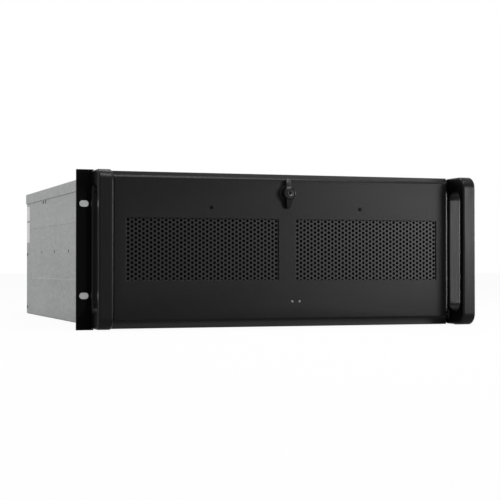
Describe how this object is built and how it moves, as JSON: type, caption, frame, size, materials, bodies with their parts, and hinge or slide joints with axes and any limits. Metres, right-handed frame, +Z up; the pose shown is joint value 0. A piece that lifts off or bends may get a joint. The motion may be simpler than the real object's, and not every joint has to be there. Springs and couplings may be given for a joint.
{
  "type": "rackmount server case",
  "caption": "Empty four-unit rackmount server case with loop handles, a vented drop-down front door with a winged cam lock, and a bare steel body.",
  "frame": {"origin": "centre of the four rack slots, on the rear face of the ears", "axes": "+X to the right of someone facing the front, +Y from front to rear, +Z up"},
  "size_m": [0.4826, 0.539, 0.177],
  "materials": {
    "galvanised_steel": "bare galvanised sheet, dull",
    "panel_paint": "black fine-texture powder coat",
    "black_anodised": "black anodised, satin",
    "door_paint": "charcoal black textured powder coat",
    "mesh_paint": "black powder coat",
    "black_screw": "black zinc plated",
    "zinc_screw": "zinc plated",
    "lock_metal": "nickel plated zinc casting",
    "knob_black": "black, semi-gloss",
    "bay_plastic": "black moulded, fine texture",
    "fan_plastic": "black moulded",
    "bracket_steel": "nickel plated sheet",
    "post_brass": "turned",
    "board_laminate": "green solder mask",
    "button_plastic": "black, semi-gloss",
    "lens_plastic": "clear, diffusing",
    "socket_steel": "tinned sheet"
  },
  "bodies": {
    "chassis": {"bay_cage": "galvanised_steel", "bay_cover_1": "bay_plastic", "bay_cover_2": "bay_plastic", "bay_cover_3": "bay_plastic", "board_posts": "post_brass", "control_board": "board_laminate", "control_posts": "post_brass", "drive_cage": "galvanised_steel", "ear_left": "panel_paint", "ear_right": "panel_paint", "front_fan_frame": "fan_plastic", "front_fan_screws": "black_screw", "front_panel": "panel_paint", "handle_left": "black_anodised", "handle_right": "black_anodised", "handle_screws": "black_screw", "led_lenses": "lens_plastic", "panel_screws": "black_screw", "pivot_pins": "zinc_screw", "rear_fan_left_frame": "fan_plastic", "rear_fan_right_frame": "fan_plastic", "rear_fan_screws": "zinc_screw", "rear_panel": "galvanised_steel", "slot_cover_1": "bracket_steel", "slot_cover_2": "bracket_steel", "slot_cover_3": "bracket_steel", "slot_cover_4": "bracket_steel", "slot_cover_5": "bracket_steel", "slot_cover_6": "bracket_steel", "slot_cover_7": "bracket_steel", "slot_screws": "zinc_screw", "tub": "galvanised_steel", "usb_sockets": "socket_steel"},
    "cover": {"top_cover": "galvanised_steel", "cover_screws": "zinc_screw"},
    "door": {"door": "door_paint", "mesh_left": "mesh_paint", "mesh_right": "mesh_paint", "mesh_screws": "black_screw", "lock_body": "lock_metal", "lock_nut": "lock_metal"},
    "knob": {"lock_knob": "knob_black", "lock_cam": "lock_metal", "cam_screw": "zinc_screw"},
    "front_fan": {"front_fan_rotor": "fan_plastic"},
    "rear_fan_left": {"rear_fan_left_rotor": "fan_plastic"},
    "rear_fan_right": {"rear_fan_right_rotor": "fan_plastic"},
    "power_button": {"power_button": "button_plastic"},
    "reset_button": {"reset_button": "button_plastic"}
  },
  "joints": [
    {"name": "cover_slide", "type": "slide", "parent": "chassis", "child": "cover", "axis": [0, 1, 0], "range_m": [0, 0.03]},
    {"name": "door_hinge", "type": "hinge", "parent": "chassis", "child": "door", "pos_m": [0, -0.0105, -0.0756], "axis": [1, 0, 0], "range_deg": [0, 90]},
    {"name": "lock_turn", "type": "hinge", "parent": "door", "child": "knob", "pos_m": [0, -0.02, 0.065], "axis": [0, 1, 0], "range_deg": [0, 90]},
    {"name": "front_fan_spin", "type": "hinge", "parent": "chassis", "child": "front_fan", "pos_m": [-0.125, 0, 0], "axis": [0, 1, 0], "continuous": true},
    {"name": "rear_fan_left_spin", "type": "hinge", "parent": "chassis", "child": "rear_fan_left", "pos_m": [-0.004, 0.4663, 0.024], "axis": [0, 1, 0], "continuous": true},
    {"name": "rear_fan_right_spin", "type": "hinge", "parent": "chassis", "child": "rear_fan_right", "pos_m": [0.078, 0.4663, 0.024], "axis": [0, 1, 0], "continuous": true},
    {"name": "power_press", "type": "slide", "parent": "chassis", "child": "power_button", "axis": [0, 1, 0], "range_m": [0, 0.002], "stiffness_N_per_m": 300},
    {"name": "reset_press", "type": "slide", "parent": "chassis", "child": "reset_button", "axis": [0, 1, 0], "range_m": [0, 0.002], "stiffness_N_per_m": 300}
  ]
}
